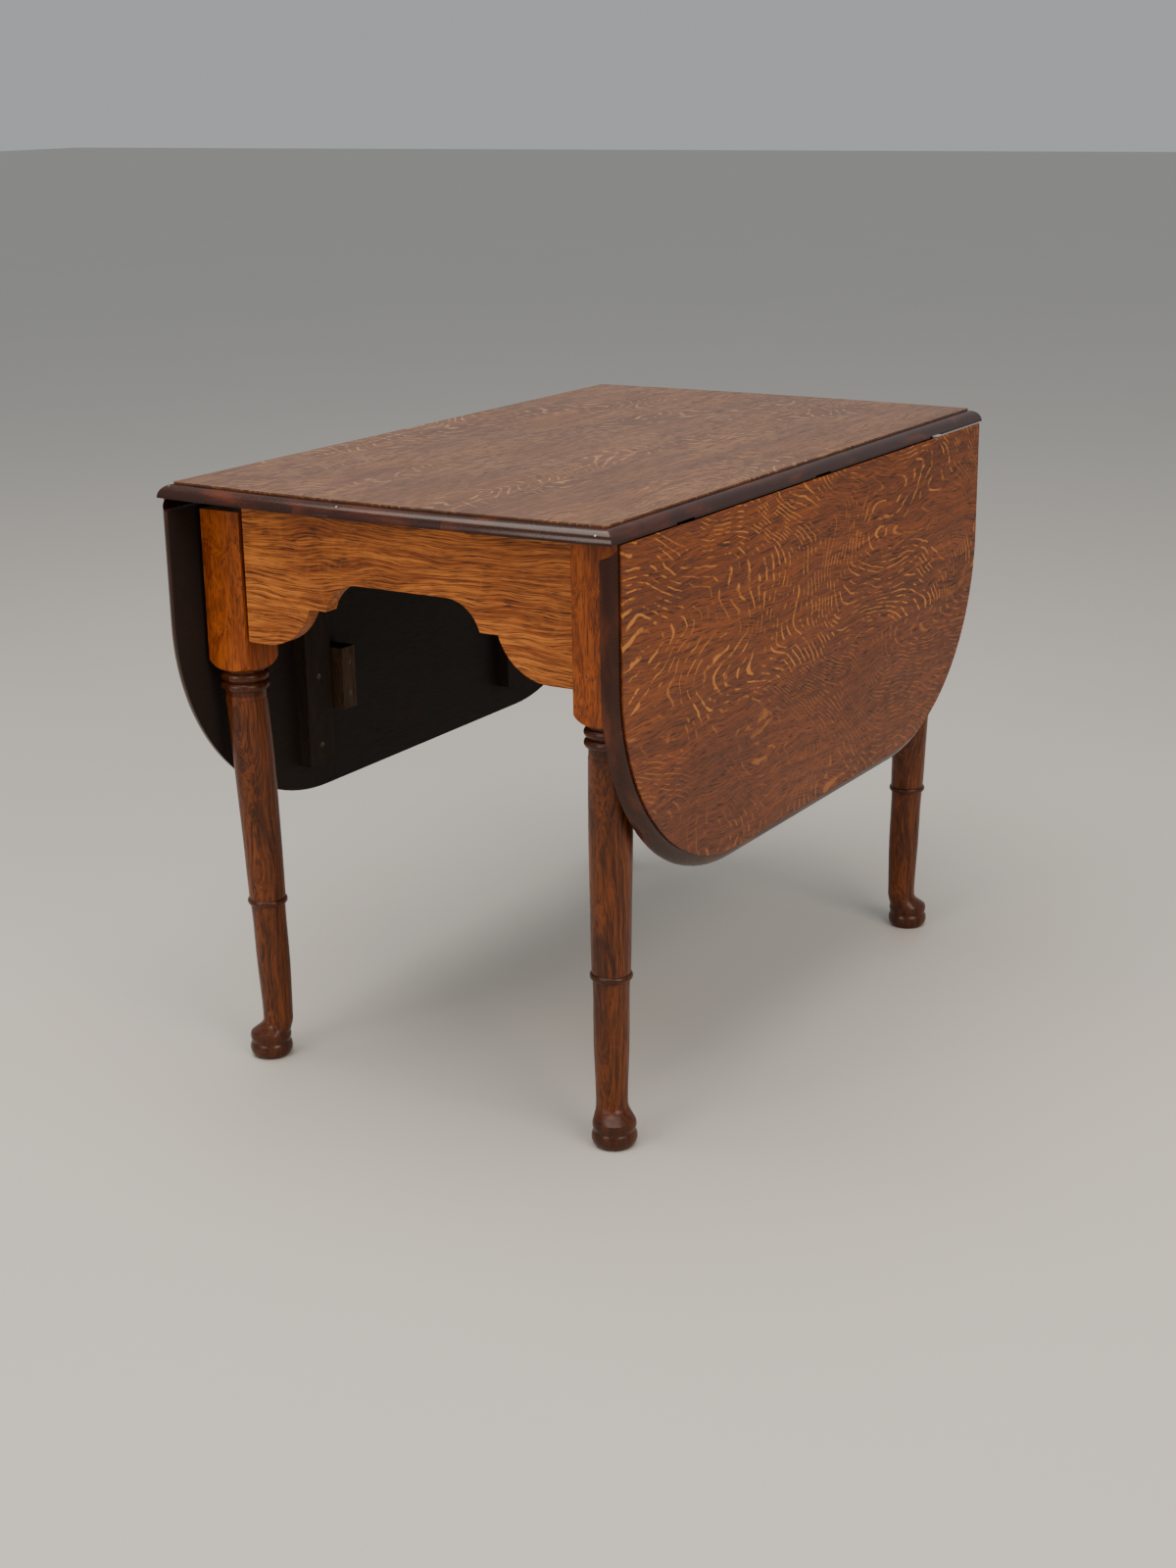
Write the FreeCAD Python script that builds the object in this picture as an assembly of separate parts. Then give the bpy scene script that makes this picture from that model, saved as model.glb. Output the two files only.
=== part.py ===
"""Drop leaf table: fixed top, two hanging leaves on rule joints, two fixed and two gate legs.

Origin: on the floor under the middle of the top. +X runs along the top's long side, +Y across
it and +Z is up. The table looks the same after half a turn about Z, so each side piece is
built once, for the front (-Y) side, and turned to make its twin on the back side.
"""

import FreeCAD
import Part

import math
import os

V = FreeCAD.Vector
Z_AXIS = V(0, 0, 1)
X_AXIS = V(1, 0, 0)
Y_AXIS = V(0, 1, 0)

# Top
TABLE_HEIGHT = 730.0
TOP_THICKNESS = 18.0
TOP_LENGTH = 966.0
TOP_WIDTH = 611.0
END_BOW = 10.0
QUIRK = 3.0
TOP_SEAM_Y = 100.0

# Leaves
LEAF_WIDTH = 413.0
LEAF_CORNER_R = 262.0
LEAF_SEAM = 222.0
COVE_CLEARANCE = 0.6
LIP_GAP = 1.2

# Legs
LEG_BLOCK = 57.6
LEG_X = 407.0
LEG_Y = 255.0
BLOCK_BOTTOM_Z = 501.0
SHOULDER = 15.0
SHOULDER_INSET = 2.0
SHOULDER_MID = (0.6, 0.36)
RING_Z = (492.5, 480.5, 468.5)
RING_HALF_HEIGHT = 5.8
RING_R = 29.2
RING_NECK_R = 24.5
LOW_RING_Z = 205.5
PAD_R = 26.5
PAD_OFFSET = 4.5
# Height, radius and inward lean of each section, from the rings down to the pad. A stretch
# ends where the turning changes: shaft, low ring, lower shaft, ankle.
STRETCHES = (
    ((464.0, 25.0, 0.0), (410.0, 24.9, 3.4), (353.0, 24.5, 5.8), (300.0, 23.7, 7.8),
     (250.0, 23.0, 9.4), (209.5, 22.2, 10.5)),
    ((209.5, 22.2, 10.5), (208.3, 23.8, 10.5), (205.5, 24.6, 10.5), (202.7, 23.6, 10.5),
     (201.5, 21.3, 10.5)),
    ((201.5, 21.3, 10.5), (150.0, 20.6, 12.4), (97.0, 19.7, 14.0), (64.0, 18.6, 14.7),
     (48.0, 18.5, 14.8)),
    ((48.0, 18.5, 14.8), (43.0, 19.0, 13.6), (37.0, 21.4, 9.6), (31.0, 24.6, PAD_OFFSET)),
)

# End aprons
APRON_THICKNESS = 20.0
APRON_SETBACK = 2.0
EAR_Z = 541.0
STEP_Z = 589.5
ARCH_Z = 624.0
ARCH_HALF = 62.0
COVE_HALF = 106.0
STEP_HALF = 130.0
LOBE_END = 196.0
TENON_THICKNESS = 9.0
TENON_LENGTH = 28.0
TENON_INSET_Z = 14.0

# Rails and gates
RAIL_DEPTH = 128.0
SIDE_RAIL_THICKNESS = 22.0
GATE_GAP = 4.0
FLY_THICKNESS = 26.0
FLY_DROP = 1.5
BATTEN_CLEARANCE = 0.3
KNUCKLE_X = 85.0
KNUCKLE_COUNT = 5
KNUCKLE_CLEARANCE = 0.6
GATE_PIN_R = 4.0
RUNNING_CLEARANCE = 0.05

# Leaf battens and stop blocks
BATTEN_WIDTH = 50.0
BATTEN_THICKNESS = 18.0
BATTEN_START = 140.0
BATTEN_END = 376.0
BATTEN_X = (247.0, -202.0)
STOP_WIDTH = 26.0
STOP_THICKNESS = 30.0
STOP_START = 232.0
STOP_END = 312.0
STOP_X = 201.0

# Rule joint hinges
HINGE_X = (-330.0, 0.0, 330.0)
HINGE_WIDTH = 38.0
HINGE_PLATE = 1.6
HINGE_BARREL_R = 3.5
HINGE_PIN_R = 1.75
HINGE_TOP_FLAP = 40.0
HINGE_LEAF_FLAP = 75.0
HINGE_KNUCKLE_GAP = 0.3
HINGE_POCKET = 0.25

# Screws
SCREW_R = 1.8
SCREW_HEAD_R = 3.6
SCREW_HEAD = 2.0
SCREW_LENGTH = 12.0
LONG_SCREW = 30.0

# Corner blocks
CORNER_BLOCK = 34.0
CORNER_BLOCK_HEIGHT = 90.0

# Sizes that follow
UNDERSIDE_Z = TABLE_HEIGHT - TOP_THICKNESS
MOULD_R = TOP_THICKNESS - QUIRK
HINGE_Y = TOP_WIDTH / 2 - MOULD_R
HALF_L = TOP_LENGTH / 2
HALF_W = TOP_WIDTH / 2
BOW_R = (HALF_W ** 2 + END_BOW ** 2) / (2 * END_BOW)
COVE_R = MOULD_R + COVE_CLEARANCE
HALF_BLOCK = LEG_BLOCK / 2
LEG_OUT_X = LEG_X + HALF_BLOCK
LEG_IN_X = LEG_X - HALF_BLOCK
LEG_OUT_Y = LEG_Y + HALF_BLOCK
LEG_IN_Y = LEG_Y - HALF_BLOCK
APRON_OUT_X = LEG_OUT_X - APRON_SETBACK
APRON_IN_X = APRON_OUT_X - APRON_THICKNESS
APRON_FREE_Y = LEG_IN_Y - GATE_GAP
RAIL_IN_Y = APRON_FREE_Y - SIDE_RAIL_THICKNESS
RAIL_BOTTOM_Z = UNDERSIDE_Z - RAIL_DEPTH
FLY_OUT_Y = LEG_IN_Y + FLY_THICKNESS
PIVOT_Y = LEG_IN_Y + FLY_THICKNESS / 2
# an open gate slides under the leaf's batten and carries the leaf by it
FLY_TOP_Z = UNDERSIDE_Z - BATTEN_THICKNESS - BATTEN_CLEARANCE
FLY_BOTTOM_Z = RAIL_BOTTOM_Z + FLY_DROP
KNUCKLE_R = FLY_THICKNESS / 2
STEP_OVERLAP = 1.0


def box(low, high):
    """A box between two opposite corners."""
    size = [b - a for a, b in zip(low, high)]
    return Part.makeBox(size[0], size[1], size[2], V(*low))


def rod(radius, start, direction, length):
    return Part.makeCylinder(radius, length, start, direction)


def half_turn(shape):
    """The twin on the other side: half a turn about Z."""
    twin = shape.copy()
    twin.rotate(V(0, 0, 0), Z_AXIS, 180)
    return twin


def fuse(shapes):
    body = shapes[0]
    if len(shapes) > 1:
        body = body.fuse(list(shapes[1:]))
    return body.removeSplitter()


def write(name, shape):
    solids = shape.Solids
    if not shape.isValid() or not solids:
        raise ValueError("bad shape: " + name)
    if len(solids) == 1:
        shape = solids[0]
    shape.exportStep("parts/" + name + ".step")


# ---------------------------------------------------------------- top and leaves

def top_outline(inset, z):
    """Outline of the top, moved in by inset: straight sides and bowed ends."""
    y = HALF_W - inset
    bow = HALF_L + END_BOW - inset
    x = bow - (BOW_R - inset) + math.sqrt((BOW_R - inset) ** 2 - y ** 2)
    edges = [
        Part.makeLine(V(-x, -y, z), V(x, -y, z)),
        Part.Arc(V(x, -y, z), V(bow, 0, z), V(x, y, z)).toShape(),
        Part.makeLine(V(x, y, z), V(-x, y, z)),
        Part.Arc(V(-x, y, z), V(-bow, 0, z), V(-x, -y, z)).toShape(),
    ]
    return Part.Face(Part.Wire(edges))


def leaf_outline(inset, z, start):
    """Outline of an open leaf, start to LEAF_WIDTH outward of the hinge line, at -Y."""
    x = HALF_L - inset
    end = -HINGE_Y - LEAF_WIDTH + inset
    near = -HINGE_Y - start
    r = LEAF_CORNER_R - inset
    d = r * math.sqrt(0.5)
    cx = x - r
    cy = end + r
    edges = [
        Part.makeLine(V(x, near, z), V(-x, near, z)),
        Part.makeLine(V(-x, near, z), V(-x, cy, z)),
        Part.Arc(V(-x, cy, z), V(-cx - d, cy - d, z), V(-cx, end, z)).toShape(),
        Part.makeLine(V(-cx, end, z), V(cx, end, z)),
        Part.Arc(V(cx, end, z), V(cx + d, cy - d, z), V(x, cy, z)).toShape(),
        Part.makeLine(V(x, cy, z), V(x, near, z)),
    ]
    return Part.Face(Part.Wire(edges))


def moulded_slab(outline, keep_edge):
    """A slab with a quirk and quarter round run along each upper edge that keep_edge picks."""
    deep = MOULD_R + STEP_OVERLAP
    slab = outline(0.0, UNDERSIDE_Z - STEP_OVERLAP).extrude(V(0, 0, deep))
    z = UNDERSIDE_Z + MOULD_R
    edges = []
    for edge in slab.Edges:
        flat = abs(edge.BoundBox.ZMin - z) < 1e-6 and abs(edge.BoundBox.ZMax - z) < 1e-6
        if flat and keep_edge(edge):
            edges.append(edge)
    slab = slab.makeFillet(MOULD_R, edges)
    far = TOP_LENGTH + TOP_WIDTH + LEAF_WIDTH
    below = box((-far, -far, UNDERSIDE_Z - TOP_THICKNESS), (far, far, UNDERSIDE_Z))
    slab = slab.cut(below)
    cap = outline(MOULD_R, z - STEP_OVERLAP).extrude(V(0, 0, QUIRK + STEP_OVERLAP))
    return slab.fuse(cap).removeSplitter()


def make_top():
    return moulded_slab(top_outline, lambda edge: True)


def make_leaf():
    """The front leaf, open: a quirk and quarter round on three sides and a cove on the hinge side."""
    def outline(inset, z):
        return leaf_outline(inset, z, 0.0)

    def on_moulded_side(edge):
        return edge.BoundBox.YMin < -HINGE_Y - 1.0

    slab = moulded_slab(outline, on_moulded_side)
    far = TOP_LENGTH
    cove = rod(COVE_R, V(-far / 2 - MOULD_R, -HINGE_Y, UNDERSIDE_Z), X_AXIS, far + 2 * MOULD_R)
    lip = box((-far, -HINGE_Y - LIP_GAP, UNDERSIDE_Z - QUIRK), (far, 0, TABLE_HEIGHT + QUIRK))
    return slab.cut(cove).cut(lip)


def hang(shape):
    """The front leaf and its hardware, turned down from open to hanging."""
    down = shape.copy()
    down.rotate(V(0, -HINGE_Y, UNDERSIDE_Z), X_AXIS, 90)
    return down


def slice_y(shape, low, high):
    far = TOP_LENGTH + TOP_WIDTH
    return shape.common(box((-far, low, 0), (far, high, TABLE_HEIGHT + far)))


# ---------------------------------------------------------------- screws and hinges

def screw_up(x, y, z, length):
    """A countersunk screw whose head is flush at z and whose point is up."""
    head = Part.makeCone(SCREW_HEAD_R, SCREW_R, SCREW_HEAD, V(x, y, z), Z_AXIS)
    shank = rod(SCREW_R, V(x, y, z), Z_AXIS, length - SCREW_HEAD)
    tip = Part.makeCone(SCREW_R, SCREW_R / 6, SCREW_HEAD, V(x, y, z + length - SCREW_HEAD), Z_AXIS)
    return fuse([head, shank, tip])


def hinge_parts(x):
    """Plates, pin and screws of one hinge on the front joint, with the leaf open."""
    left = x - HINGE_WIDTH / 2
    third = HINGE_WIDTH / 3
    top_flap = box((left, -HINGE_Y, UNDERSIDE_Z),
                   (left + HINGE_WIDTH, -HINGE_Y + HINGE_TOP_FLAP, UNDERSIDE_Z + HINGE_PLATE))
    leaf_flap = box((left, -HINGE_Y - HINGE_LEAF_FLAP, UNDERSIDE_Z),
                    (left + HINGE_WIDTH, -HINGE_Y, UNDERSIDE_Z + HINGE_PLATE))
    around = HINGE_BARREL_R + HINGE_KNUCKLE_GAP
    axis = V(left, -HINGE_Y, UNDERSIDE_Z)
    clear = rod(around, axis, X_AXIS, HINGE_WIDTH)
    gap = HINGE_KNUCKLE_GAP / 2
    ends = []
    for start in (left, left + 2 * third + gap):
        ends.append(rod(HINGE_BARREL_R, V(start, -HINGE_Y, UNDERSIDE_Z), X_AXIS, third - gap))
    middle = rod(HINGE_BARREL_R, V(left + third + gap, -HINGE_Y, UNDERSIDE_Z), X_AXIS,
                 third - 2 * gap)
    mid_clear = rod(around, V(left + third - gap, -HINGE_Y, UNDERSIDE_Z), X_AXIS,
                    third + 2 * gap)
    end_clear = clear.cut(box((left + third + gap, -HINGE_Y - around, UNDERSIDE_Z - around),
                              (left + 2 * third - gap, -HINGE_Y + around,
                               UNDERSIDE_Z + around)))
    pin = rod(HINGE_PIN_R, axis, X_AXIS, HINGE_WIDTH)
    bore = rod(HINGE_PIN_R + RUNNING_CLEARANCE, axis, X_AXIS, HINGE_WIDTH)
    top_plate = fuse([top_flap.cut(mid_clear)] + ends).cut(pin)
    leaf_plate = fuse([leaf_flap.cut(end_clear), middle]).cut(bore)
    top_screws = []
    for dx, dy in ((-11, 14), (11, 14), (0, 31)):
        top_screws.append(screw_up(x + dx, -HINGE_Y + dy, UNDERSIDE_Z, SCREW_LENGTH))
    leaf_screws = []
    for dx, dy in ((-11, 28), (11, 28), (0, 62)):
        leaf_screws.append(screw_up(x + dx, -HINGE_Y - dy, UNDERSIDE_Z, SCREW_LENGTH))
    return top_plate, leaf_plate, pin, top_screws, leaf_screws


def top_pocket(x):
    """Room in the top for a hinge: its flap, its barrel and the leaf flap when open."""
    left = x - HINGE_WIDTH / 2
    flap = box((left, -HINGE_Y, UNDERSIDE_Z - STEP_OVERLAP),
               (left + HINGE_WIDTH, -HINGE_Y + HINGE_TOP_FLAP, UNDERSIDE_Z + HINGE_PLATE))
    wide = HINGE_WIDTH + 2 * HINGE_POCKET
    barrel = rod(HINGE_BARREL_R + 2 * HINGE_POCKET,
                 V(left - HINGE_POCKET, -HINGE_Y, UNDERSIDE_Z), X_AXIS, wide)
    swing = box((left - HINGE_POCKET, -HINGE_Y - MOULD_R - STEP_OVERLAP,
                 UNDERSIDE_Z - STEP_OVERLAP),
                (left - HINGE_POCKET + wide, -HINGE_Y,
                 UNDERSIDE_Z + HINGE_PLATE + HINGE_POCKET))
    return [flap, barrel, swing]


# ---------------------------------------------------------------- legs

def circle_wire(x, y, z, radius):
    return Part.Wire(Part.Circle(V(x, y, z), Z_AXIS, radius).toShape())


def ring(x, y, z, radius, neck, half_height):
    """One turned half-round ring."""
    profile = [
        Part.makeLine(V(0, 0, z - half_height), V(neck, 0, z - half_height)),
        Part.Arc(V(neck, 0, z - half_height), V(radius, 0, z),
                 V(neck, 0, z + half_height)).toShape(),
        Part.makeLine(V(neck, 0, z + half_height), V(0, 0, z + half_height)),
        Part.makeLine(V(0, 0, z + half_height), V(0, 0, z - half_height)),
    ]
    solid = Part.Face(Part.Wire(profile)).revolve(V(0, 0, 0), Z_AXIS, 360)
    solid.translate(V(x, y, 0))
    return solid


def make_leg(x, y, top_z):
    """A square block, three rings, an offset-turned shaft and a pad foot."""
    inward_x = -math.copysign(math.sqrt(0.5), x)
    inward_y = -math.copysign(math.sqrt(0.5), y)

    def lean(offset):
        return x + inward_x * offset, y + inward_y * offset

    def loft(rows):
        wires = []
        for z, radius, offset in rows:
            cx, cy = lean(offset)
            wires.append(circle_wire(cx, cy, z, radius))
        return Part.makeLoft(wires, True, False)

    block = box((x - HALF_BLOCK, y - HALF_BLOCK, BLOCK_BOTTOM_Z),
                (x + HALF_BLOCK, y + HALF_BLOCK, top_z))
    diagonal = HALF_BLOCK * math.sqrt(2) + 1
    low = HALF_BLOCK - SHOULDER_INSET
    mid = low + (diagonal - low) * SHOULDER_MID[0]
    turned = [
        Part.makeLine(V(0, 0, BLOCK_BOTTOM_Z), V(low, 0, BLOCK_BOTTOM_Z)),
        Part.Arc(V(low, 0, BLOCK_BOTTOM_Z),
                 V(mid, 0, BLOCK_BOTTOM_Z + SHOULDER * SHOULDER_MID[1]),
                 V(diagonal, 0, BLOCK_BOTTOM_Z + SHOULDER)).toShape(),
        Part.makeLine(V(diagonal, 0, BLOCK_BOTTOM_Z + SHOULDER), V(diagonal, 0, top_z)),
        Part.makeLine(V(diagonal, 0, top_z), V(0, 0, top_z)),
        Part.makeLine(V(0, 0, top_z), V(0, 0, BLOCK_BOTTOM_Z)),
    ]
    shoulder = Part.Face(Part.Wire(turned)).revolve(V(0, 0, 0), Z_AXIS, 360)
    shoulder.translate(V(x, y, 0))
    pieces = [block.common(shoulder)]
    shaft_top = STRETCHES[0][0][0]
    core = rod(RING_NECK_R, V(x, y, shaft_top), Z_AXIS, BLOCK_BOTTOM_Z - shaft_top + 4)
    pieces.append(core)
    for z in RING_Z:
        pieces.append(ring(x, y, z, RING_R, RING_NECK_R - 1, RING_HALF_HEIGHT))
    for stretch in STRETCHES:
        pieces.append(loft(stretch))
    top_z_pad, top_r, _ = STRETCHES[-1][-1]
    px, py = lean(PAD_OFFSET)
    pad = [
        Part.makeLine(V(0, 0, 0), V(PAD_R - 5.5, 0, 0)),
        Part.Arc(V(PAD_R - 5.5, 0, 0), V(PAD_R, 0, 11), V(PAD_R - 2.3, 0, 19)).toShape(),
        Part.makeLine(V(PAD_R - 2.3, 0, 19), V(PAD_R - 2.3, 0, 21)),
        Part.Arc(V(PAD_R - 2.3, 0, 21), V(PAD_R - 1, 0, 25.5), V(top_r, 0, top_z_pad)).toShape(),
        Part.makeLine(V(top_r, 0, top_z_pad), V(0, 0, top_z_pad)),
        Part.makeLine(V(0, 0, top_z_pad), V(0, 0, 0)),
    ]
    foot = Part.Face(Part.Wire(pad)).revolve(V(0, 0, 0), Z_AXIS, 360)
    foot.translate(V(px, py, 0))
    pieces.append(foot)
    return fuse(pieces)


# ---------------------------------------------------------------- aprons and rails

def apron_profile(x, y_fixed, y_free):
    """Face of the left end apron in the plane at x: flat arch, cavetto, step, lobe and ear."""
    def arc(a, b, c):
        return Part.Arc(V(x, a[0], a[1]), V(x, b[0], b[1]), V(x, c[0], c[1])).toShape()

    def line(a, b):
        return Part.makeLine(V(x, a[0], a[1]), V(x, b[0], b[1]))

    def half(side):
        """Lower edge on one side, from the ear's end towards the middle."""
        lobe_mid = (side * 149.0, 559.5)
        cove_mid = (side * 95.5, 608.5)
        return (
            arc((side * LOBE_END, EAR_Z), lobe_mid, (side * STEP_HALF, STEP_Z)),
            line((side * STEP_HALF, STEP_Z), (side * COVE_HALF, STEP_Z)),
            arc((side * COVE_HALF, STEP_Z), cove_mid, (side * ARCH_HALF, ARCH_Z)),
        )

    edges = [line((y_fixed, UNDERSIDE_Z), (y_fixed, EAR_Z)),
             line((y_fixed, EAR_Z), (-LOBE_END, EAR_Z))]
    edges.extend(half(-1))
    edges.append(line((-ARCH_HALF, ARCH_Z), (ARCH_HALF, ARCH_Z)))
    edges.extend(half(1))
    edges.append(line((LOBE_END, EAR_Z), (y_free, EAR_Z)))
    edges.append(line((y_free, EAR_Z), (y_free, UNDERSIDE_Z)))
    edges.append(line((y_free, UNDERSIDE_Z), (y_fixed, UNDERSIDE_Z)))
    return Part.Face(Part.Wire(Part.__sortEdges__(edges)))


def apron_tenon():
    """Tenon of the left apron in the fixed front leg."""
    mid = -(APRON_OUT_X + APRON_IN_X) / 2
    return box((mid - TENON_THICKNESS / 2, -LEG_IN_Y - TENON_LENGTH, EAR_Z + TENON_INSET_Z),
               (mid + TENON_THICKNESS / 2, -LEG_IN_Y, UNDERSIDE_Z - TENON_INSET_Z))


def make_left_apron():
    board = apron_profile(-APRON_OUT_X, -LEG_IN_Y, APRON_FREE_Y).extrude(
        V(APRON_THICKNESS, 0, 0))
    return fuse([board, apron_tenon()])


def make_front_side_rail():
    return box((-APRON_IN_X, -APRON_FREE_Y, RAIL_BOTTOM_Z),
               (APRON_IN_X, -RAIL_IN_Y, UNDERSIDE_Z))


def knuckle_tenon():
    """Tenon of the front knuckle rail in the fixed front leg."""
    return box((-LEG_IN_X - TENON_LENGTH, -PIVOT_Y - TENON_THICKNESS / 2,
                RAIL_BOTTOM_Z + TENON_INSET_Z),
               (-LEG_IN_X, -PIVOT_Y + TENON_THICKNESS / 2, UNDERSIDE_Z - TENON_INSET_Z))


def fly_tenon():
    """Tenon of the front fly rail in the front gate leg."""
    return box((LEG_IN_X, -PIVOT_Y - TENON_THICKNESS / 2, FLY_BOTTOM_Z + TENON_INSET_Z),
               (LEG_IN_X + TENON_LENGTH, -PIVOT_Y + TENON_THICKNESS / 2,
                FLY_TOP_Z - TENON_INSET_Z))


def knuckle_bands():
    """Heights of the wooden knuckles, lowest first, split between fly rail and fixed rail."""
    step = (FLY_TOP_Z - FLY_BOTTOM_Z) / KNUCKLE_COUNT
    bands = []
    for i in range(KNUCKLE_COUNT):
        low = FLY_BOTTOM_Z + i * step
        bands.append((low, low + step))
    return bands


def make_gate_rails():
    """Front knuckle rail, fly rail and the pin they share. The pivot is at +KNUCKLE_X."""
    around = KNUCKLE_R + KNUCKLE_CLEARANCE
    fixed = box((-LEG_IN_X, -FLY_OUT_Y, RAIL_BOTTOM_Z), (KNUCKLE_X, -APRON_FREE_Y, UNDERSIDE_Z))
    fly = box((KNUCKLE_X, -FLY_OUT_Y, FLY_BOTTOM_Z), (LEG_IN_X, -LEG_IN_Y, FLY_TOP_Z))
    fixed_bands = []
    fly_bands = []
    gap = KNUCKLE_CLEARANCE / 2
    for i, (low, high) in enumerate(knuckle_bands()):
        if i % 2:
            fly_bands.append((low + gap, high - gap))
        else:
            bottom = RAIL_BOTTOM_Z if i == 0 else low + gap
            top = UNDERSIDE_Z if i == KNUCKLE_COUNT - 1 else high - gap
            fixed_bands.append((bottom, top))

    def barrel(radius, low, high):
        return rod(radius, V(KNUCKLE_X, -PIVOT_Y, low), Z_AXIS, high - low)

    def cleared(low, high, side):
        """What a rail gives up beside the other rail's knuckle."""
        cut = barrel(around, low - 2 * gap, high + 2 * gap)
        reach = KNUCKLE_X + side * around
        keep = box((min(KNUCKLE_X, reach), -FLY_OUT_Y - 1, low - 2 * gap),
                   (max(KNUCKLE_X, reach), -APRON_FREE_Y - GATE_GAP, high + 2 * gap))
        return cut.fuse(keep)

    for low, high in fly_bands:
        fixed = fixed.cut(cleared(low, high, -1))
        fly = fly.fuse(barrel(KNUCKLE_R, low, high))
        strip = box((KNUCKLE_X, -PIVOT_Y - KNUCKLE_R, low), (KNUCKLE_X + 1, -LEG_IN_Y, high))
        fly = fly.fuse(strip)
    for low, high in fixed_bands:
        fly = fly.cut(cleared(low, high, 1))
        fixed = fixed.fuse(barrel(KNUCKLE_R, low, high))
    pin = rod(GATE_PIN_R, V(KNUCKLE_X, -PIVOT_Y, RAIL_BOTTOM_Z), Z_AXIS,
              UNDERSIDE_Z - RAIL_BOTTOM_Z)
    bore = rod(GATE_PIN_R + RUNNING_CLEARANCE, V(KNUCKLE_X, -PIVOT_Y, RAIL_BOTTOM_Z), Z_AXIS,
               UNDERSIDE_Z - RAIL_BOTTOM_Z)
    fixed = fuse([fixed, knuckle_tenon()]).cut(pin)
    fly = fuse([fly, fly_tenon()]).cut(bore)
    return fixed, fly, pin


def make_corner_block(end, side):
    """A glued triangular block where an apron meets a side rail."""
    x = end * APRON_IN_X
    y = side * RAIL_IN_Y
    z = UNDERSIDE_Z - CORNER_BLOCK_HEIGHT
    points = [V(x, y, z), V(x - end * CORNER_BLOCK, y, z), V(x, y - side * CORNER_BLOCK, z)]
    points.append(points[0])
    face = Part.Face(Part.makePolygon(points))
    return face.extrude(V(0, 0, CORNER_BLOCK_HEIGHT))


# ---------------------------------------------------------------- leaf battens and stops

def on_leaf(x, width, start, end, thickness):
    """A block on the front leaf's underside, open: x is its middle."""
    return box((x - width / 2, -HINGE_Y - end, UNDERSIDE_Z - thickness),
               (x + width / 2, -HINGE_Y - start, UNDERSIDE_Z))


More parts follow.
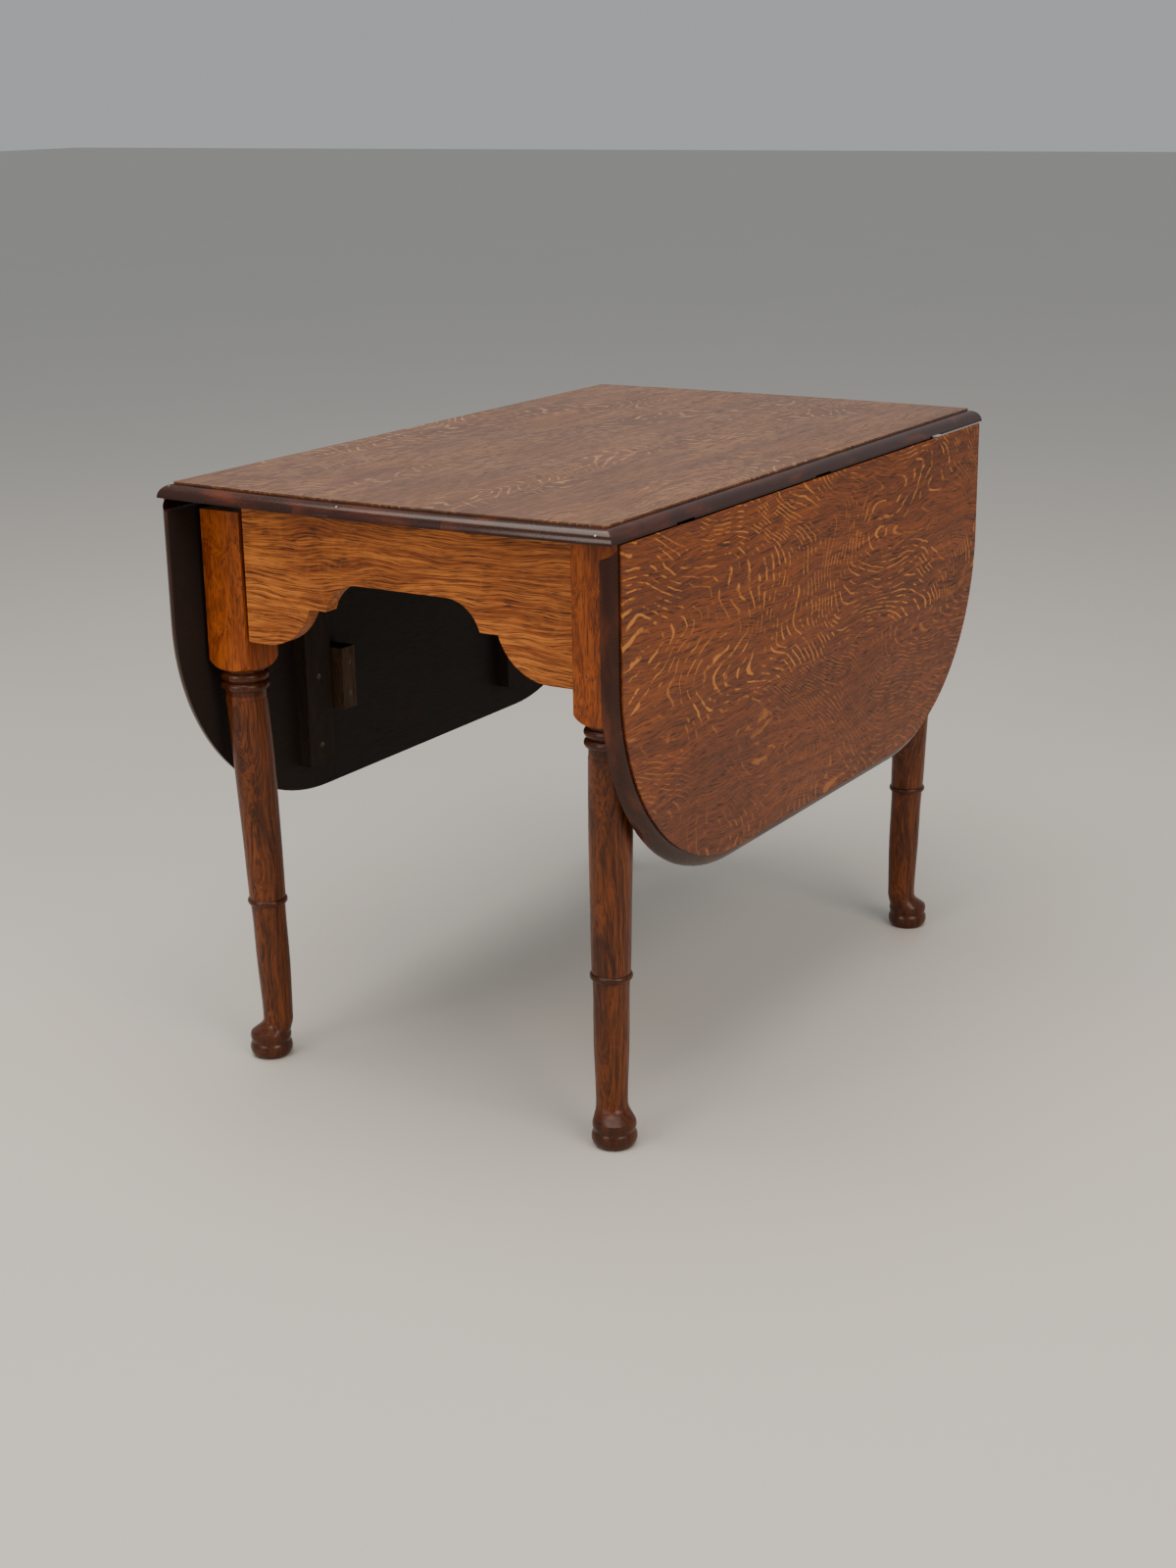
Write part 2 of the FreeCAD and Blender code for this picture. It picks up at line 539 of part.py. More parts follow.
def main():
    os.makedirs("parts", exist_ok=True)
    top = make_top()
    leaf = make_leaf()

    # hinges of the front joint
    top_screws = []
    leaf_screws = []
    for number, x in enumerate(HINGE_X, 1):
        top_plate, leaf_plate, pin, up, out = hinge_parts(x)
        for screw in up:
            top_plate = top_plate.cut(screw)
        for screw in out:
            leaf_plate = leaf_plate.cut(screw)
        leaf = leaf.cut([leaf_plate] + out)
        cutters = top_pocket(x) + up
        top = top.cut(cutters)
        top = top.cut([half_turn(c) for c in cutters])
        top_screws.extend(up)
        leaf_screws.extend(out)
        hung = hang(leaf_plate)
        tag = "_hinge_" + str(number)
        write("front" + tag + "_top_plate", top_plate)
        write("back" + tag + "_top_plate", half_turn(top_plate))
        write("front" + tag + "_leaf_plate", hung)
        write("back" + tag + "_leaf_plate", half_turn(hung))
        write("front" + tag + "_pin", pin)
        write("back" + tag + "_pin", half_turn(pin))

    # battens and stop blocks with their screws
    batten_screws = []
    for number, x in enumerate(BATTEN_X, 1):
        batten = on_leaf(x, BATTEN_WIDTH, BATTEN_START, BATTEN_END, BATTEN_THICKNESS)
        for reach in (BATTEN_START + 25, 262.0, BATTEN_END - 25):
            batten_screws.append(screw_up(x, -HINGE_Y - reach, UNDERSIDE_Z - BATTEN_THICKNESS,
                                          LONG_SCREW))
        batten = batten.cut(batten_screws[-3:])
        hung = hang(batten)
        write("front_leaf_batten_" + str(number), hung)
        write("back_leaf_batten_" + str(number), half_turn(hung))
    stop = on_leaf(STOP_X, STOP_WIDTH, STOP_START, STOP_END, STOP_THICKNESS)
    for reach in (STOP_START + 20, STOP_END - 20):
        batten_screws.append(screw_up(STOP_X, -HINGE_Y - reach, UNDERSIDE_Z - STOP_THICKNESS,
                                      LONG_SCREW + STOP_THICKNESS - BATTEN_THICKNESS))
    stop = hang(stop.cut(batten_screws[-2:]))
    write("front_leaf_stop", stop)
    write("back_leaf_stop", half_turn(stop))
    leaf = leaf.cut(batten_screws)

    # leaf boards
    seam = -HINGE_Y - LEAF_SEAM
    far = TOP_LENGTH + TOP_WIDTH
    for name, low, high in (("inner", seam, 0.0), ("outer", -far, seam)):
        board = hang(slice_y(leaf, low, high))
        write("front_leaf_" + name + "_board", board)
        write("back_leaf_" + name + "_board", half_turn(board))

    # aprons, rails and legs
    apron = make_left_apron()
    side_rail = make_front_side_rail()
    fixed_rail, fly_rail, gate_pin = make_gate_rails()
    rail_screws = []
    for x in (-330.0, -190.0, -40.0):
        for z in (RAIL_BOTTOM_Z + 30, UNDERSIDE_Z - 30):
            screw = screw_up(0, 0, 0, LONG_SCREW + SIDE_RAIL_THICKNESS / 2)
            screw.rotate(V(0, 0, 0), X_AXIS, 90)
            screw.translate(V(x, -RAIL_IN_Y, z))
            rail_screws.append(screw)
    side_rail = side_rail.cut(rail_screws)
    fixed_rail = fixed_rail.cut(rail_screws)
    leg = make_leg(-LEG_X, -LEG_Y, UNDERSIDE_Z).cut([apron_tenon(), knuckle_tenon()])
    gate_leg = make_leg(LEG_X, -LEG_Y, FLY_TOP_Z).cut(fly_tenon())
    pairs = (
        ("left_apron", "right_apron", apron),
        ("front_side_rail", "back_side_rail", side_rail),
        ("front_knuckle_rail", "back_knuckle_rail", fixed_rail),
        ("front_fly_rail", "back_fly_rail", fly_rail),
        ("front_gate_pin", "back_gate_pin", gate_pin),
        ("front_fixed_leg", "back_fixed_leg", leg),
        ("front_gate_leg", "back_gate_leg", gate_leg),
        ("front_knuckle_rail_screws", "back_knuckle_rail_screws", Part.Compound(rail_screws)),
        ("front_top_hinge_screws", "back_top_hinge_screws", Part.Compound(top_screws)),
        ("front_leaf_hinge_screws", "back_leaf_hinge_screws", hang(Part.Compound(leaf_screws))),
        ("front_batten_screws", "back_batten_screws", hang(Part.Compound(batten_screws))),
        ("corner_block_front_left", "corner_block_back_right", make_corner_block(-1, -1)),
        ("corner_block_front_right", "corner_block_back_left", make_corner_block(1, -1)),
    )
    for name, twin_name, shape in pairs:
        write(name, shape)
        write(twin_name, half_turn(shape))

    # top boards
    limit = TOP_WIDTH
    bands = (("front", -limit, -TOP_SEAM_Y), ("middle", -TOP_SEAM_Y, TOP_SEAM_Y),
             ("back", TOP_SEAM_Y, limit))
    for name, low, high in bands:
        write("top_" + name + "_board", slice_y(top, low, high))


main()
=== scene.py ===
"""Drop leaf table in old polished oak: materials, fine detail, floor, light and camera.

Sizes are in metres, in the table's own frame: the origin is on the floor under the middle of
the top, +X runs along the top's long side and +Z is up.
"""

import math

import bpy
from mathutils import Matrix, Vector

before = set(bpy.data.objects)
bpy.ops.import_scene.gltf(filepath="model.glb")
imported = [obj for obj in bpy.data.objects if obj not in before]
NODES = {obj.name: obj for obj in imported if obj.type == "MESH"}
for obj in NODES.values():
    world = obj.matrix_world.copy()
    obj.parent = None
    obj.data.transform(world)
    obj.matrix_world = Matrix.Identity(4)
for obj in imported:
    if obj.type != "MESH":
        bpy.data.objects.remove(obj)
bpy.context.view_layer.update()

bl_info = {
    "name": "Drop leaf table",
    "version": (1, 0, 0),
    "blender": (4, 5, 0),
    "location": "3D View > Sidebar > Table",
    "description": "Finishes a drop leaf table in old polished oak and lights it",
    "category": "Object",
}

WOOD_IOR = 1.5
COAT_ROUGHNESS = 0.22
MM = 0.001


# ------------------------------------------------------------------ colours and nodes

def linear(hex_colour):
    """Linear light RGBA of an sRGB colour such as '#8A4E25'."""
    out = []
    for i in (1, 3, 5):
        c = int(hex_colour[i:i + 2], 16) / 255.0
        out.append(c / 12.92 if c <= 0.04045 else ((c + 0.055) / 1.055) ** 2.4)
    return (*out, 1.0)


class Tree:
    """A material's node tree with one way to add nodes."""

    def __init__(self, name):
        self.material = bpy.data.materials.new(name)
        self.material.use_nodes = True
        self.nodes = self.material.node_tree.nodes
        self.links = self.material.node_tree.links
        self.nodes.clear()
        self.output = self.add("ShaderNodeOutputMaterial")

    def add(self, kind, inputs=None, **settings):
        """A node with its settings; each input is a value or a socket to link from."""
        node = self.nodes.new(kind)
        for key, value in settings.items():
            setattr(node, key, value)
        for key, value in (inputs or {}).items():
            if isinstance(value, bpy.types.NodeSocket):
                self.links.new(value, node.inputs[key])
            else:
                node.inputs[key].default_value = value
        return node

    def math(self, operation, a, b=0.0, c=0.0, clamp=False):
        node = self.add("ShaderNodeMath", {0: a, 1: b, 2: c}, operation=operation)
        node.use_clamp = clamp
        return node.outputs[0]

    def ramp(self, value, low, high, to_low=0.0, to_high=1.0):
        """Smooth step of value between low and high."""
        node = self.add("ShaderNodeMapRange",
                        {"Value": value, "From Min": low, "From Max": high,
                         "To Min": to_low, "To Max": to_high},
                        interpolation_type="SMOOTHSTEP")
        return node.outputs["Result"]

    def mix(self, factor, a, b, blend="MIX"):
        node = self.add("ShaderNodeMix", data_type="RGBA", blend_type=blend)
        for key, value in ((0, factor), (6, a), (7, b)):
            if isinstance(value, bpy.types.NodeSocket):
                self.links.new(value, node.inputs[key])
            else:
                node.inputs[key].default_value = value
        return node.outputs[2]

    def stretch(self, point, sizes, offset=(0.0, 0.0, 0.0)):
        """point in units of sizes: a pattern on it repeats about once in each size."""
        scale = tuple(1.0 / s for s in sizes)
        node = self.add("ShaderNodeVectorMath", {0: point, 1: scale, 2: offset},
                        operation="MULTIPLY_ADD")
        return node.outputs[0]

    def noise(self, vector, detail=2.0, rough=0.5):
        node = self.add("ShaderNodeTexNoise",
                        {"Vector": vector, "Scale": 1.0, "Detail": detail,
                         "Roughness": rough, "Distortion": 0.0})
        return node.outputs["Fac"]

    def surface(self, shader):
        """Ends the tree with shader, and gives the material."""
        self.links.new(shader.outputs[0], self.output.inputs["Surface"])
        return self.material


# ------------------------------------------------------------------ oak

# Grain direction as the order of X, Y and Z: along the grain, across it, through the board
ALONG_X_FLAT = (0, 1, 2)
ALONG_X_UPRIGHT = (0, 2, 1)
ALONG_Y = (1, 2, 0)
ALONG_Z = (2, 0, 1)

# A finish: ground, band and fleck colours; how strong bands, flecks and pores are; the
# roughness, coat and shine of its polish; and how close the bands lie, 1 being widest
FINISHES = {
    # field of the top: old french polish, dulled brown by light
    "top": dict(ground="#774A27", band="#442713", fleck="#AC8052", bands=0.65, flecks=0.55,
                pores=0.6, rough=0.38, coat=0.14, shine=0.35, close=1.0),
    # outer face of a leaf: rich red-brown polish over quarter-sawn oak
    "leaf": dict(ground="#844213", band="#4A200A", fleck="#C27A31", bands=0.65, flecks=0.8,
                 pores=0.8, rough=0.40, coat=0.04, shine=0.28, close=0.9),
    # outer board of a leaf: plainer cut of the same oak
    "leaf_low": dict(ground="#7C3D14", band="#4A200B", fleck="#B06C2C", bands=0.65,
                     flecks=0.5, pores=0.85, rough=0.40, coat=0.04, shine=0.28, close=0.8),
    # end aprons: golden, close grain under wax
    "apron": dict(ground="#CE7B34", band="#74350F", fleck="#E2A25A", bands=0.95, flecks=0.05,
                  pores=0.75, rough=0.45, coat=0.04, shine=0.25, close=0.32),
    # leg shafts: flame figure, dark between
    "leg": dict(ground="#793D16", band="#2A1007", fleck="#98501F", bands=0.85, flecks=0.08,
                pores=0.6, rough=0.34, coat=0.06, shine=0.25, close=0.40),
    # undersides, rails and battens: never polished, dark with age
    "raw": dict(ground="#33261D", band="#1A120E", fleck="#3E3026", bands=0.5, flecks=0.1,
                pores=0.6, rough=0.75, coat=0.0, shine=0.3, close=1.0),
    # stop blocks: paler wood
    "pale": dict(ground="#5B4431", band="#3B2A1D", fleck="#6E5640", bands=0.4, flecks=0.1,
                 pores=0.5, rough=0.7, coat=0.0, shine=0.3, close=1.0),
}
# Leg blocks, left square: as golden as the aprons
BLOCK_GROUND = "#A8551A"
BLOCK_BAND = "#6A2D0C"
# Colours that don't depend on the finish
MOULDING = "#2C130A"
MOULDING_WORN = "#6A3218"
RAW = "#1F1713"
SEAM = "#140805"
PORE = "#1C0D07"
BARE = "#C9B8A6"

# Places on the table where one finish gives way to the next, each from low to high
BLOCK_FROM = (0.501, 0.505)
RINGS_FROM = (0.468, 0.470)
RINGS_TO = (0.501, 0.503)
LOW_RING = 0.2055
LOW_RING_HALF = (0.0038, 0.0046)
PAD_TO = (0.028, 0.055)
TOP_MOULDING = (0.7270, 0.7292)
TOP_UNDERSIDE = (0.7121, 0.7124)
END_MOULDING = (0.466, 0.468)
LEAF_MOULDING = (0.3055, 0.3077)
LEAF_INNER_FACE = (0.2906, 0.2909)
TOP_JOINT = 0.100
LEAF_JOINT = 0.490
JOINT_HALF = (0.0001, 0.0006)
NAIL_HOLE = (0.377, -0.3085, 0.385)
NAIL_HOLE_RADIUS = (0.0016, 0.0026)
CHIP_SIZE = (0.045, 0.06)

# How far the pattern is moved along, across and through the board for each seed
SEED_SHIFT = (3.7, 5.1, 2.3)
# Ray fleck: ribbons to the metre along and across the grain, then how far the slow swirl
# and the small ripple carry them, in ribbons
FLECKS_ALONG = 52.0
FLECKS_ACROSS = 58.0
SWIRL = 30.0
RIPPLE = 1.3


def fleck_mask(t, point, order, shift):
    """Ray fleck: short ribbons, 2 to 3 mm wide, that cross the grain and swirl."""
    swirl = t.noise(t.stretch(point, (0.28, 0.16, 0.16), shift), 1.0)
    ripple = t.noise(t.stretch(point, (0.040, 0.025, 0.025), shift), 1.0)
    phase = t.math("ADD", t.math("MULTIPLY", order[0], FLECKS_ALONG),
                   t.math("MULTIPLY", order[1], FLECKS_ACROSS))
    phase = t.math("ADD", phase, t.math("MULTIPLY", swirl, SWIRL))
    phase = t.math("ADD", phase, t.math("MULTIPLY", ripple, RIPPLE))
    ribbon = t.math("SINE", t.math("MULTIPLY", phase, 2 * math.pi))
    broken = t.noise(t.stretch(point, (0.020, 0.012, 0.02), shift), 2.0)
    where = t.noise(t.stretch(point, (0.18, 0.10, 0.10), (shift[0], shift[1] + 9.0, 0.0)), 1.0)
    thin = t.ramp(where, 0.28, 0.64, 0.88, 0.48)
    return t.math("MULTIPLY", t.ramp(t.math("SUBTRACT", ribbon, thin), 0.0, 0.40),
                  t.ramp(broken, 0.43, 0.58))


def turned_parts(t, height):
    """Where polish has gathered in a leg's turning: rings, low ring and pad."""
    rings = t.ramp(height, *RINGS_FROM)
    rings = t.math("MULTIPLY", rings, t.ramp(height, *RINGS_TO, 1.0, 0.0))
    low = t.ramp(t.math("ABSOLUTE", t.math("SUBTRACT", height, LOW_RING)),
                 *LOW_RING_HALF, 1.0, 0.0)
    pad = t.ramp(height, *PAD_TO, 1.0, 0.0)
    return t.math("MAXIMUM", t.math("MAXIMUM", rings, low), pad)


def chips(t, place, length, edge):
    """Small chips of bare wood along the top's end mouldings."""
    cell = t.add("ShaderNodeTexVoronoi", {"Vector": place, "Scale": 38.0, "Randomness": 1.0})
    chip = t.ramp(cell.outputs["Distance"], *CHIP_SIZE, 1.0, 0.0)
    ends = t.ramp(t.math("ABSOLUTE", length), *END_MOULDING)
    return t.math("MULTIPLY", t.math("MULTIPLY", chip, ends), edge)


def oak(name, finish, grain, seed, zones=None):
    """Oak with growth bands, pores and ray fleck.

    zones is None, "top", "leaf" or "leg": which parts of the piece are darker or lighter.
    """
    look = FINISHES[finish]
    t = Tree(name)
    place = t.add("ShaderNodeTexCoord").outputs["Object"]
    axes = t.add("ShaderNodeSeparateXYZ", {0: place}).outputs
    order = [axes[i] for i in grain]
    point = t.add("ShaderNodeCombineXYZ", {0: order[0], 1: order[1], 2: order[2]}).outputs[0]
    shift = tuple(seed * step for step in SEED_SHIFT)

    # slow wander of the grain, so bands bend like a real board's
    wander = t.noise(t.stretch(point, (0.20, 0.09, 0.09), shift), 2.0)
    warp = t.add("ShaderNodeCombineXYZ",
                 {0: 0.0, 1: t.math("MULTIPLY_ADD", wander, 0.055, -0.027), 2: 0.0}).outputs[0]
    bent = t.add("ShaderNodeVectorMath", {0: point, 1: warp}, operation="ADD").outputs[0]

    # growth bands: wide ones up to 9 mm apart, fine ones up to 2.2 mm apart
    close = look["close"]
    wide = t.noise(t.stretch(bent, (0.26 * close, 0.009 * close, 0.03 * close), shift), 3.0, 0.6)
    fine = t.noise(t.stretch(bent, (0.09, 0.0022 * close, 0.006 * close), shift), 2.0, 0.6)
    bands = t.ramp(t.math("ADD", t.math("MULTIPLY", wide, 0.6),
                          t.math("MULTIPLY", fine, 0.4)), 0.38, 0.62)
    ground, band = linear(look["ground"]), linear(look["band"])
    if zones == "leg":
        block = t.ramp(axes[2], *BLOCK_FROM)
        ground = t.mix(block, ground, linear(BLOCK_GROUND))
        band = t.mix(block, band, linear(BLOCK_BAND))
    colour = t.mix(t.math("MULTIPLY", bands, look["bands"]), ground, band)

    # stain taken up unevenly, in patches about a hand wide
    patch = t.ramp(t.noise(t.stretch(point, (0.22, 0.10, 0.10), shift), 2.0), 0.35, 0.7)
    colour = t.mix(t.math("MULTIPLY", patch, 0.35), colour, band)

    # pores: dark dashes about 1 mm wide and 20 mm long
    pores = t.ramp(t.noise(t.stretch(bent, (0.022, 0.0009, 0.0014), shift), 2.0), 0.50, 0.66)
    colour = t.mix(t.math("MULTIPLY", pores, look["pores"]), colour, linear(PORE))

    fleck = fleck_mask(t, point, order, shift)
    colour = t.mix(t.math("MULTIPLY", fleck, look["flecks"]), colour, linear(look["fleck"]))

    rough = t.math("ADD", look["rough"] - 0.05, t.math("MULTIPLY", wander, 0.10))
    rough = t.math("ADD", rough, t.math("MULTIPLY", pores, 0.12))
    filled = None

    if zones == "leg":
        filled = turned_parts(t, axes[2])
        colour = t.mix(t.math("MULTIPLY", filled, 0.6), colour, linear(MOULDING))
        rough = t.math("ADD", rough, t.math("MULTIPLY", filled, -0.06))
    elif zones:
        if zones == "top":
            depth, moulding, inside = axes[2], TOP_MOULDING, TOP_UNDERSIDE
            across, joint = axes[1], TOP_JOINT
        else:
            depth, moulding, inside = t.math("ABSOLUTE", axes[1]), LEAF_MOULDING, LEAF_INNER_FACE
            across, joint = axes[2], LEAF_JOINT
        edge = t.ramp(depth, *moulding, 1.0, 0.0)
        under = t.ramp(depth, *inside, 1.0, 0.0)
        # the glue joint shows as a fine dark line
        off = t.math("ABSOLUTE", t.math("SUBTRACT", t.math("ABSOLUTE", across), joint))
        colour = t.mix(t.ramp(off, *JOINT_HALF, 0.55, 0.0), colour, linear(SEAM))
        if zones == "leaf":
            # a nail hole near the far end of the front leaf
            away = t.add("ShaderNodeVectorMath", {0: place, 1: NAIL_HOLE},
                         operation="DISTANCE").outputs["Value"]
            colour = t.mix(t.ramp(away, *NAIL_HOLE_RADIUS, 1.0, 0.0), colour, linear(SEAM))
        # dark polished moulding, rubbed in places, and bare wood underneath
        wear = t.ramp(t.noise(t.stretch(point, (0.07, 0.07, 0.015), shift), 3.0), 0.45, 0.85)
        edge_colour = t.mix(t.math("MULTIPLY", wear, 0.7), linear(MOULDING),
                            linear(MOULDING_WORN))
        colour = t.mix(edge, colour, edge_colour)
        filled = t.math("MULTIPLY", edge, 0.9)
        colour = t.mix(t.math("MULTIPLY", under, 0.93), colour, linear(RAW))
        rough = t.math("ADD", rough, t.math("MULTIPLY", edge, -0.20))
        rough = t.math("ADD", rough, t.math("MULTIPLY", under, 0.5), clamp=True)
        if zones == "top":
            chip = chips(t, place, axes[0], edge)
            colour = t.mix(t.math("MULTIPLY", chip, 0.8), colour, linear(BARE))

    height = t.math("ADD", t.math("MULTIPLY", pores, -0.6), t.math("MULTIPLY", fine, 0.25))
    if filled is not None:
        # thick polish fills the grain of a moulding
        height = t.math("MULTIPLY", height, t.math("SUBTRACT", 1.0, filled))
    bump = t.add("ShaderNodeBump", {"Height": height, "Strength": 0.35, "Distance": 0.0002})
    shader = t.add("ShaderNodeBsdfPrincipled",
                   {"Base Color": colour, "Roughness": rough, "IOR": WOOD_IOR,
                    "Specular IOR Level": look["shine"],
                    "Coat Weight": look["coat"], "Coat Roughness": COAT_ROUGHNESS,
                    "Coat IOR": WOOD_IOR, "Normal": bump.outputs[0]})
    return t.surface(shader)


def metal(name, colour, rust, rough, grain_size):
    """Old metal: a dull ground with brown rust patches and a fine surface."""
    t = Tree(name)
    place = t.add("ShaderNodeTexCoord").outputs["Object"]
    patches = t.noise(t.stretch(place, (grain_size * 8,) * 3), 4.0, 0.6)
    tone = t.mix(t.ramp(patches, 0.42, 0.62), linear(colour), linear(rust))
    fine = t.noise(t.stretch(place, (grain_size,) * 3), 2.0)
    bump = t.add("ShaderNodeBump", {"Height": fine, "Strength": 0.3, "Distance": 0.0001})
    shine = t.ramp(patches, 0.4, 0.65, rough, rough + 0.25)
    shader = t.add("ShaderNodeBsdfPrincipled",
                   {"Base Color": tone, "Metallic": 0.85, "Roughness": shine,
                    "Normal": bump.outputs[0]})
    return t.surface(shader)


def floor_sheet(name, colour, rough):
    """A quiet matt floor with a faint mottle, seen only from above."""
    t = Tree(name)
    place = t.add("ShaderNodeTexCoord").outputs["Object"]
    mottle = t.noise(t.stretch(place, (0.6, 0.6, 0.6)), 3.0)
    tone = t.mix(t.math("MULTIPLY", mottle, 0.08), linear(colour), linear(FLOOR_MOTTLE))
    shader = t.add("ShaderNodeBsdfPrincipled", {"Base Color": tone, "Roughness": rough})
    clear = t.add("ShaderNodeBsdfTransparent")
    below = t.add("ShaderNodeNewGeometry").outputs["Backfacing"]
    cover = t.add("ShaderNodeMixShader", {0: below, 1: shader.outputs[0], 2: clear.outputs[0]})
    return t.surface(cover)


# ------------------------------------------------------------------ putting finishes on

def dress(names, material, bevel=0.0, angle=40.0):
    """Gives CAD pieces a finish and, where bevel is set, slightly worn edges."""
    for name in names:
        node = NODES[name]
        node.data.materials.clear()
        node.data.materials.append(material)
        if bevel:
            soft = node.modifiers.new("worn edges", "BEVEL")
            soft.width = bevel
            soft.segments = 2
            soft.limit_method = "ANGLE"
            soft.angle_limit = math.radians(angle)
            soft.harden_normals = False


def named(*words):
    """The CAD pieces whose names hold every one of words, in order of name."""
    return [n for n in sorted(NODES) if all(w in n for w in words)]


# ------------------------------------------------------------------ settings

class TableFinish(bpy.types.PropertyGroup):
    """Sizes that a user may change."""

    worn_edge: bpy.props.FloatProperty(
        name="Worn edge", description="Radius rubbed onto the edges of boards and blocks",
        default=0.9 * MM, min=0.0, max=3 * MM, unit="LENGTH")


class TableStage(bpy.types.PropertyGroup):
    """The floor and the light."""

    floor_size: bpy.props.FloatProperty(
        name="Floor size", description="Side of the square floor",
        default=60.0, min=2.0, max=100.0, unit="LENGTH")
    light_level: bpy.props.FloatProperty(
        name="Light level", description="Strength of every light, as a share of the usual",
        default=1.0, min=0.1, max=4.0, subtype="FACTOR")


# ------------------------------------------------------------------ operators

class TABLE_OT_top(bpy.types.Operator):
    """Finishes the three boards of the fixed top"""

    bl_idname = "table.top"
    bl_label = "Finish the top"

    def execute(self, context):
        for seed, name in enumerate(named("top_", "_board")):
            dress([name], oak("oak, aged polish, " + name, "top", ALONG_X_FLAT,
                              seed + 1.3, "top"))
        return {"FINISHED"}


class TABLE_OT_leaves(bpy.types.Operator):
    """Finishes the boards of both leaves"""

    bl_idname = "table.leaves"
    bl_label = "Finish the leaves"

    def execute(self, context):
        for seed, name in enumerate(named("leaf_inner_board")):
            dress([name], oak("oak, quarter-sawn, " + name, "leaf", ALONG_X_UPRIGHT,
                              seed + 4.2, "leaf"))
        for seed, name in enumerate(named("leaf_outer_board")):
            dress([name], oak("oak, plain-sawn, " + name, "leaf_low", ALONG_X_UPRIGHT,
                              seed + 6.6, "leaf"))
        return {"FINISHED"}


class TABLE_OT_legs(bpy.types.Operator):
    """Finishes the two fixed legs and the two gate legs"""

    bl_idname = "table.legs"
    bl_label = "Finish the legs"

    def execute(self, context):
        for seed, name in enumerate(named("_leg")):
            dress([name], oak("oak, turned and polished, " + name, "leg", ALONG_Z,
                              seed + 8.1, "leg"))
        return {"FINISHED"}


class TABLE_OT_aprons(bpy.types.Operator):
    """Finishes the two shaped end aprons"""

    bl_idname = "table.aprons"
    bl_label = "Finish the aprons"

    def execute(self, context):
        edge = context.scene.table_finish.worn_edge
        for seed, name in enumerate(named("_apron")):
            dress([name], oak("oak, waxed, " + name, "apron", ALONG_Y, seed + 12.4), edge)
        return {"FINISHED"}


class TABLE_OT_rails(bpy.types.Operator):
    """Finishes the rails, corner blocks, battens and stop blocks"""

    bl_idname = "table.rails"
    bl_label = "Finish the hidden woodwork"

    def execute(self, context):
        edge = context.scene.table_finish.worn_edge
        rails = oak("oak, unpolished rail", "raw", ALONG_X_UPRIGHT, 15.2)
        upright = oak("oak, unpolished upright", "raw", ALONG_Z, 17.9)
        pale = oak("oak, pale block", "pale", ALONG_Z, 19.4)
        dress([n for n in named("_rail") if "screws" not in n], rails)
        dress(named("corner_block"), upright, edge)
        dress([n for n in named("batten") if "screws" not in n], upright, edge)
        dress(named("leaf_stop"), pale, edge)
        return {"FINISHED"}


class TABLE_OT_fittings(bpy.types.Operator):
    """Finishes the hinges, gate pins and screws"""

    bl_idname = "table.fittings"
    bl_label = "Finish the metalwork"

    def execute(self, context):
        iron = metal("iron, dark with age", "#4A4642", "#3A2418", 0.42, 0.6 * MM)
        steel = metal("steel, dull screw", "#6B6762", "#4A3122", 0.38, 0.4 * MM)
        dress([n for n in named("_hinge_") if "screws" not in n], iron)
        dress(named("gate_pin"), iron)
        dress(named("screws"), steel)
        return {"FINISHED"}


def area_light(name, place, target, size, power, colour):
    """Hangs a soft box at place that faces target, unseen by the camera."""
    light = bpy.data.lights.new(name, "AREA")
    light.shape = "RECTANGLE"
    light.size, light.size_y = size
    light.energy = power
    light.color = linear(colour)[:3]
    lamp = bpy.data.objects.new(name, light)
    bpy.context.scene.collection.objects.link(lamp)
    lamp.location = place
    lamp.visible_camera = False
    lamp.rotation_euler = (Vector(target) - Vector(place)).to_track_quat("-Z", "Y").to_euler()


# Soft boxes: name, place, width and height, watts, tint. They face AIM.
AIM = (0.0, 0.0, 0.45)
FLOOR = "#CBC6BF"
FLOOR_MOTTLE = "#8F8C88"
ROOM = "#C9CDD0"
ROOM_LIGHT = 0.66
LIGHTS = (
    ("overhead", (-0.6, 0.2, 3.4), (3.4, 2.6), 120.0, "#FFF6EA"),
    ("front", (-1.4, -3.4, 2.4), (2.2, 1.8), 80.0, "#FFF1E0"),
    ("end", (-3.8, 0.8, 2.0), (1.8, 1.6), 45.0, "#FFF3E6"),
)


class TABLE_OT_stage(bpy.types.Operator):
    """Lays the floor, hangs the lights and sets the camera"""

    bl_idname = "table.stage"
    bl_label = "Set the stage"

    def execute(self, context):
        stage = context.scene.table_stage
        half = stage.floor_size / 2
        mesh = bpy.data.meshes.new("floor")
        mesh.from_pydata([(-half, -half, 0), (half, -half, 0), (half, half, 0), (-half, half, 0)],
                         [], [(0, 1, 2, 3)])
        floor = bpy.data.objects.new("floor", mesh)
        context.scene.collection.objects.link(floor)
        mesh.materials.append(floor_sheet("pale floor", FLOOR, 0.55))

        world = bpy.data.worlds.new("soft room")
        world.use_nodes = True
        ground = world.node_tree.nodes["Background"]
        ground.inputs["Color"].default_value = linear(ROOM)
        ground.inputs["Strength"].default_value = ROOM_LIGHT * stage.light_level
        context.scene.world = world

        for name, place, size, watts, tint in LIGHTS:
            area_light(name, place, AIM, size, watts * stage.light_level, tint)

        place_camera(context.scene)
        return {"FINISHED"}


CAMERA_PLACE = (-2.4076, -1.4828, 1.1684)
CAMERA_YAW = math.radians(57.85)
CAMERA_PITCH = math.radians(17.40)
CAMERA_ROLL = math.radians(-0.91)
LENS_MM = 52.0


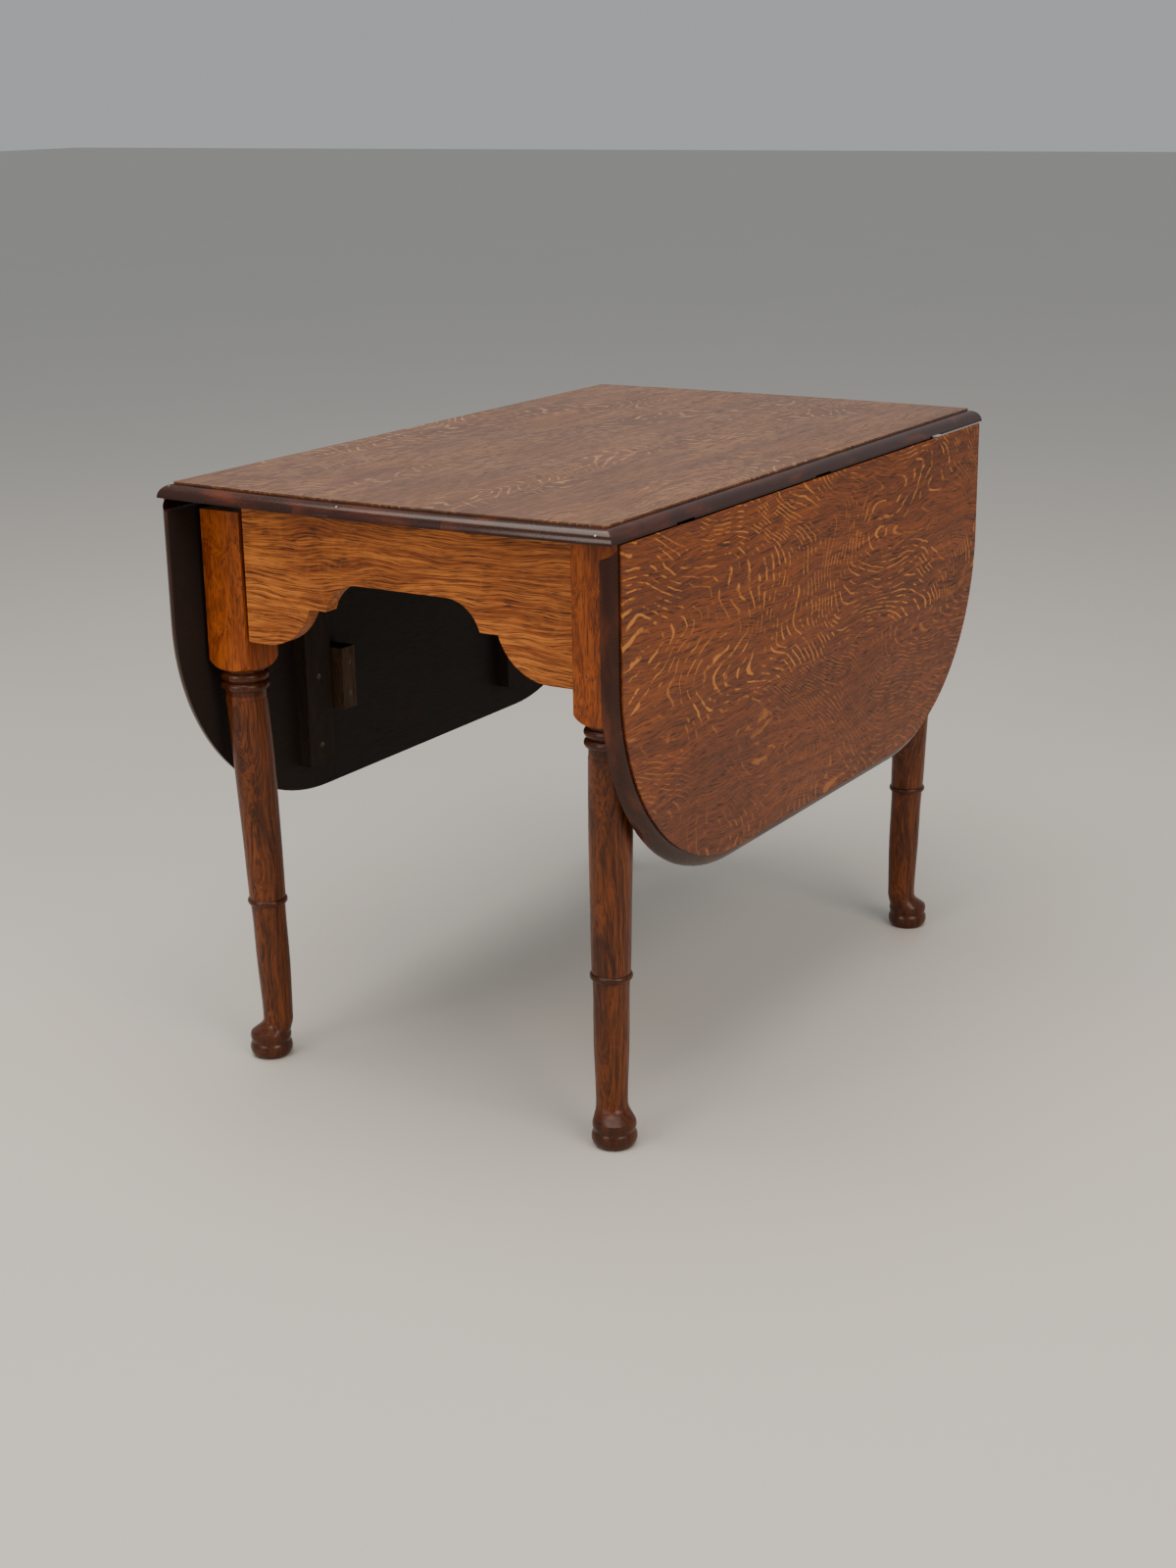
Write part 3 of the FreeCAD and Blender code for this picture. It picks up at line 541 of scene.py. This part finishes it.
def place_camera(scene):
    """Standing eye level, looking down a little at the near corner."""
    data = bpy.data.cameras.new("camera")
    data.lens = LENS_MM
    data.sensor_width = 36.0
    data.clip_start = 0.05
    camera = bpy.data.objects.new("camera", data)
    scene.collection.objects.link(camera)
    ahead = Vector((math.sin(CAMERA_YAW) * math.cos(CAMERA_PITCH),
                    math.cos(CAMERA_YAW) * math.cos(CAMERA_PITCH), -math.sin(CAMERA_PITCH)))
    right = Vector((math.cos(CAMERA_YAW), -math.sin(CAMERA_YAW), 0.0))
    up = right.cross(ahead)
    cos_roll, sin_roll = math.cos(CAMERA_ROLL), math.sin(CAMERA_ROLL)
    side = right * cos_roll + up * sin_roll
    above = up * cos_roll - right * sin_roll
    turn = Matrix((side, above, -ahead)).transposed().to_4x4()
    camera.matrix_world = Matrix.Translation(CAMERA_PLACE) @ turn
    scene.camera = camera


# ------------------------------------------------------------------ panel and start

OPERATORS = (TABLE_OT_top, TABLE_OT_leaves, TABLE_OT_legs, TABLE_OT_aprons, TABLE_OT_rails,
             TABLE_OT_fittings, TABLE_OT_stage)


class TABLE_PT_panel(bpy.types.Panel):
    """Lists the table's finishing steps"""

    bl_idname = "TABLE_PT_panel"
    bl_label = "Drop leaf table"
    bl_space_type = "VIEW_3D"
    bl_region_type = "UI"
    bl_category = "Table"

    def draw(self, context):
        for group in (context.scene.table_finish, context.scene.table_stage):
            for key in group.bl_rna.properties.keys():
                if key not in ("rna_type", "name"):
                    self.layout.prop(group, key)
        for operator in OPERATORS:
            self.layout.operator(operator.bl_idname)


CLASSES = (TableFinish, TableStage) + OPERATORS + (TABLE_PT_panel,)


def register():
    for item in CLASSES:
        bpy.utils.register_class(item)
    bpy.types.Scene.table_finish = bpy.props.PointerProperty(type=TableFinish)
    bpy.types.Scene.table_stage = bpy.props.PointerProperty(type=TableStage)


def unregister():
    del bpy.types.Scene.table_stage
    del bpy.types.Scene.table_finish
    for item in reversed(CLASSES):
        bpy.utils.unregister_class(item)


def main():
    """Builds the scene."""
    register()
    bpy.ops.table.top()
    bpy.ops.table.leaves()
    bpy.ops.table.legs()
    bpy.ops.table.aprons()
    bpy.ops.table.rails()
    bpy.ops.table.fittings()
    bpy.ops.table.stage()


if __name__ == "__main__":
    main()
